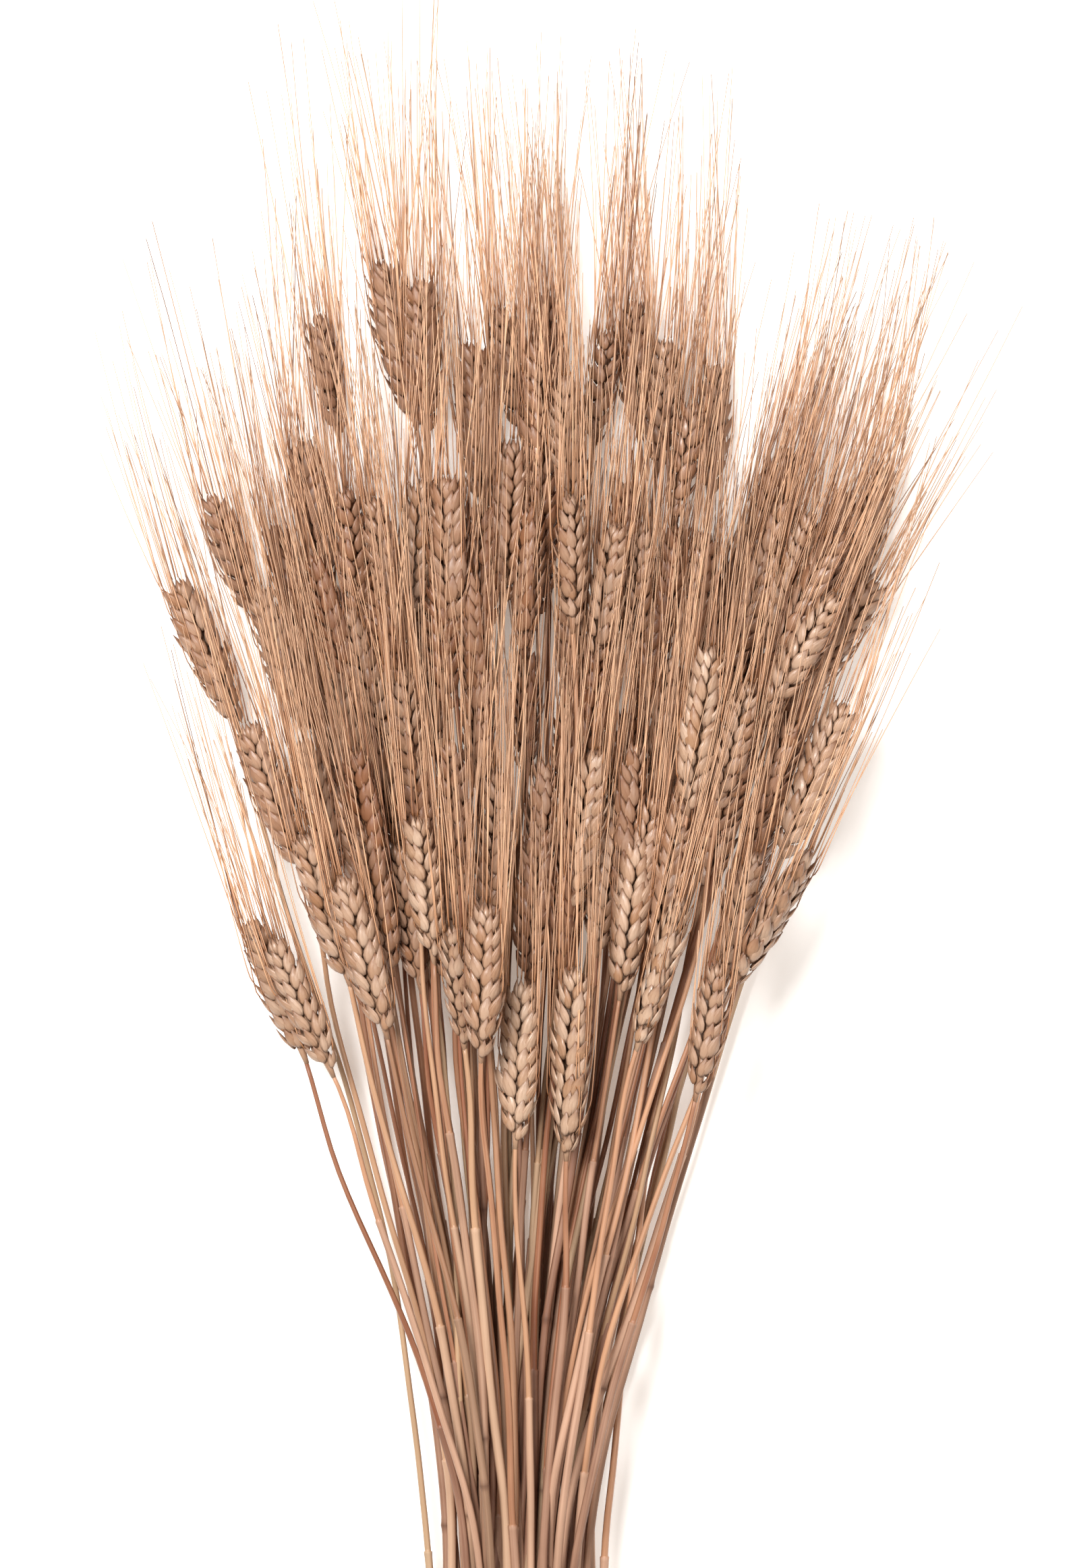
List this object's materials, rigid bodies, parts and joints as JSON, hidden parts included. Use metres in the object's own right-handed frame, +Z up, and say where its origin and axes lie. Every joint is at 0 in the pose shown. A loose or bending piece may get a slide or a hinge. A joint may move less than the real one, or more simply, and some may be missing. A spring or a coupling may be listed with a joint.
{
  "type": "bundle of dried wheat",
  "caption": "Bundle of dried bearded wheat stalks gathered and tied with twine, ears and long awns fanned out at one end, lying on its side.",
  "frame": {"origin": "on the surface the bundle lies on, below the middle of its outline in X and Y", "axes": "+Y along the stalks from the cut ends to the awn tips, +Z up from the surface, +X across the fan of ears, to the right when seen from above with the ears away from the viewer"},
  "size_m": [0.3406, 0.6986, 0.07],
  "materials": {
    "straw": "satin",
    "jute": "matte"
  },
  "bodies": {
    "root": {"wheat_stalk_01": "straw", "wheat_stalk_02": "straw", "wheat_stalk_03": "straw", "wheat_stalk_04": "straw", "wheat_stalk_05": "straw", "wheat_stalk_06": "straw", "wheat_stalk_07": "straw", "wheat_stalk_08": "straw", "wheat_stalk_09": "straw", "wheat_stalk_10": "straw", "wheat_stalk_11": "straw", "wheat_stalk_12": "straw", "wheat_stalk_13": "straw", "wheat_stalk_14": "straw", "wheat_stalk_15": "straw", "wheat_stalk_16": "straw", "wheat_stalk_17": "straw", "wheat_stalk_18": "straw", "wheat_stalk_19": "straw", "wheat_stalk_20": "straw", "wheat_stalk_21": "straw", "wheat_stalk_22": "straw", "wheat_stalk_23": "straw", "wheat_stalk_24": "straw", "wheat_stalk_25": "straw", "wheat_stalk_26": "straw", "wheat_stalk_27": "straw", "wheat_stalk_28": "straw", "wheat_stalk_29": "straw", "wheat_stalk_30": "straw", "wheat_stalk_31": "straw", "wheat_stalk_32": "straw", "wheat_stalk_33": "straw", "wheat_stalk_34": "straw", "wheat_stalk_35": "straw", "wheat_stalk_36": "straw", "wheat_stalk_37": "straw", "wheat_stalk_38": "straw", "wheat_stalk_39": "straw", "wheat_stalk_40": "straw", "wheat_stalk_41": "straw", "wheat_stalk_42": "straw", "wheat_stalk_43": "straw", "wheat_stalk_44": "straw", "wheat_stalk_45": "straw", "wheat_stalk_46": "straw", "wheat_stalk_47": "straw", "wheat_stalk_48": "straw", "wheat_stalk_49": "straw", "wheat_stalk_50": "straw", "wheat_stalk_51": "straw", "wheat_stalk_52": "straw", "wheat_stalk_53": "straw", "wheat_stalk_54": "straw", "wheat_stalk_55": "straw", "wheat_stalk_56": "straw", "wheat_stalk_57": "straw", "twine_binding": "jute", "twine_knot": "jute"}
  },
  "joints": []
}
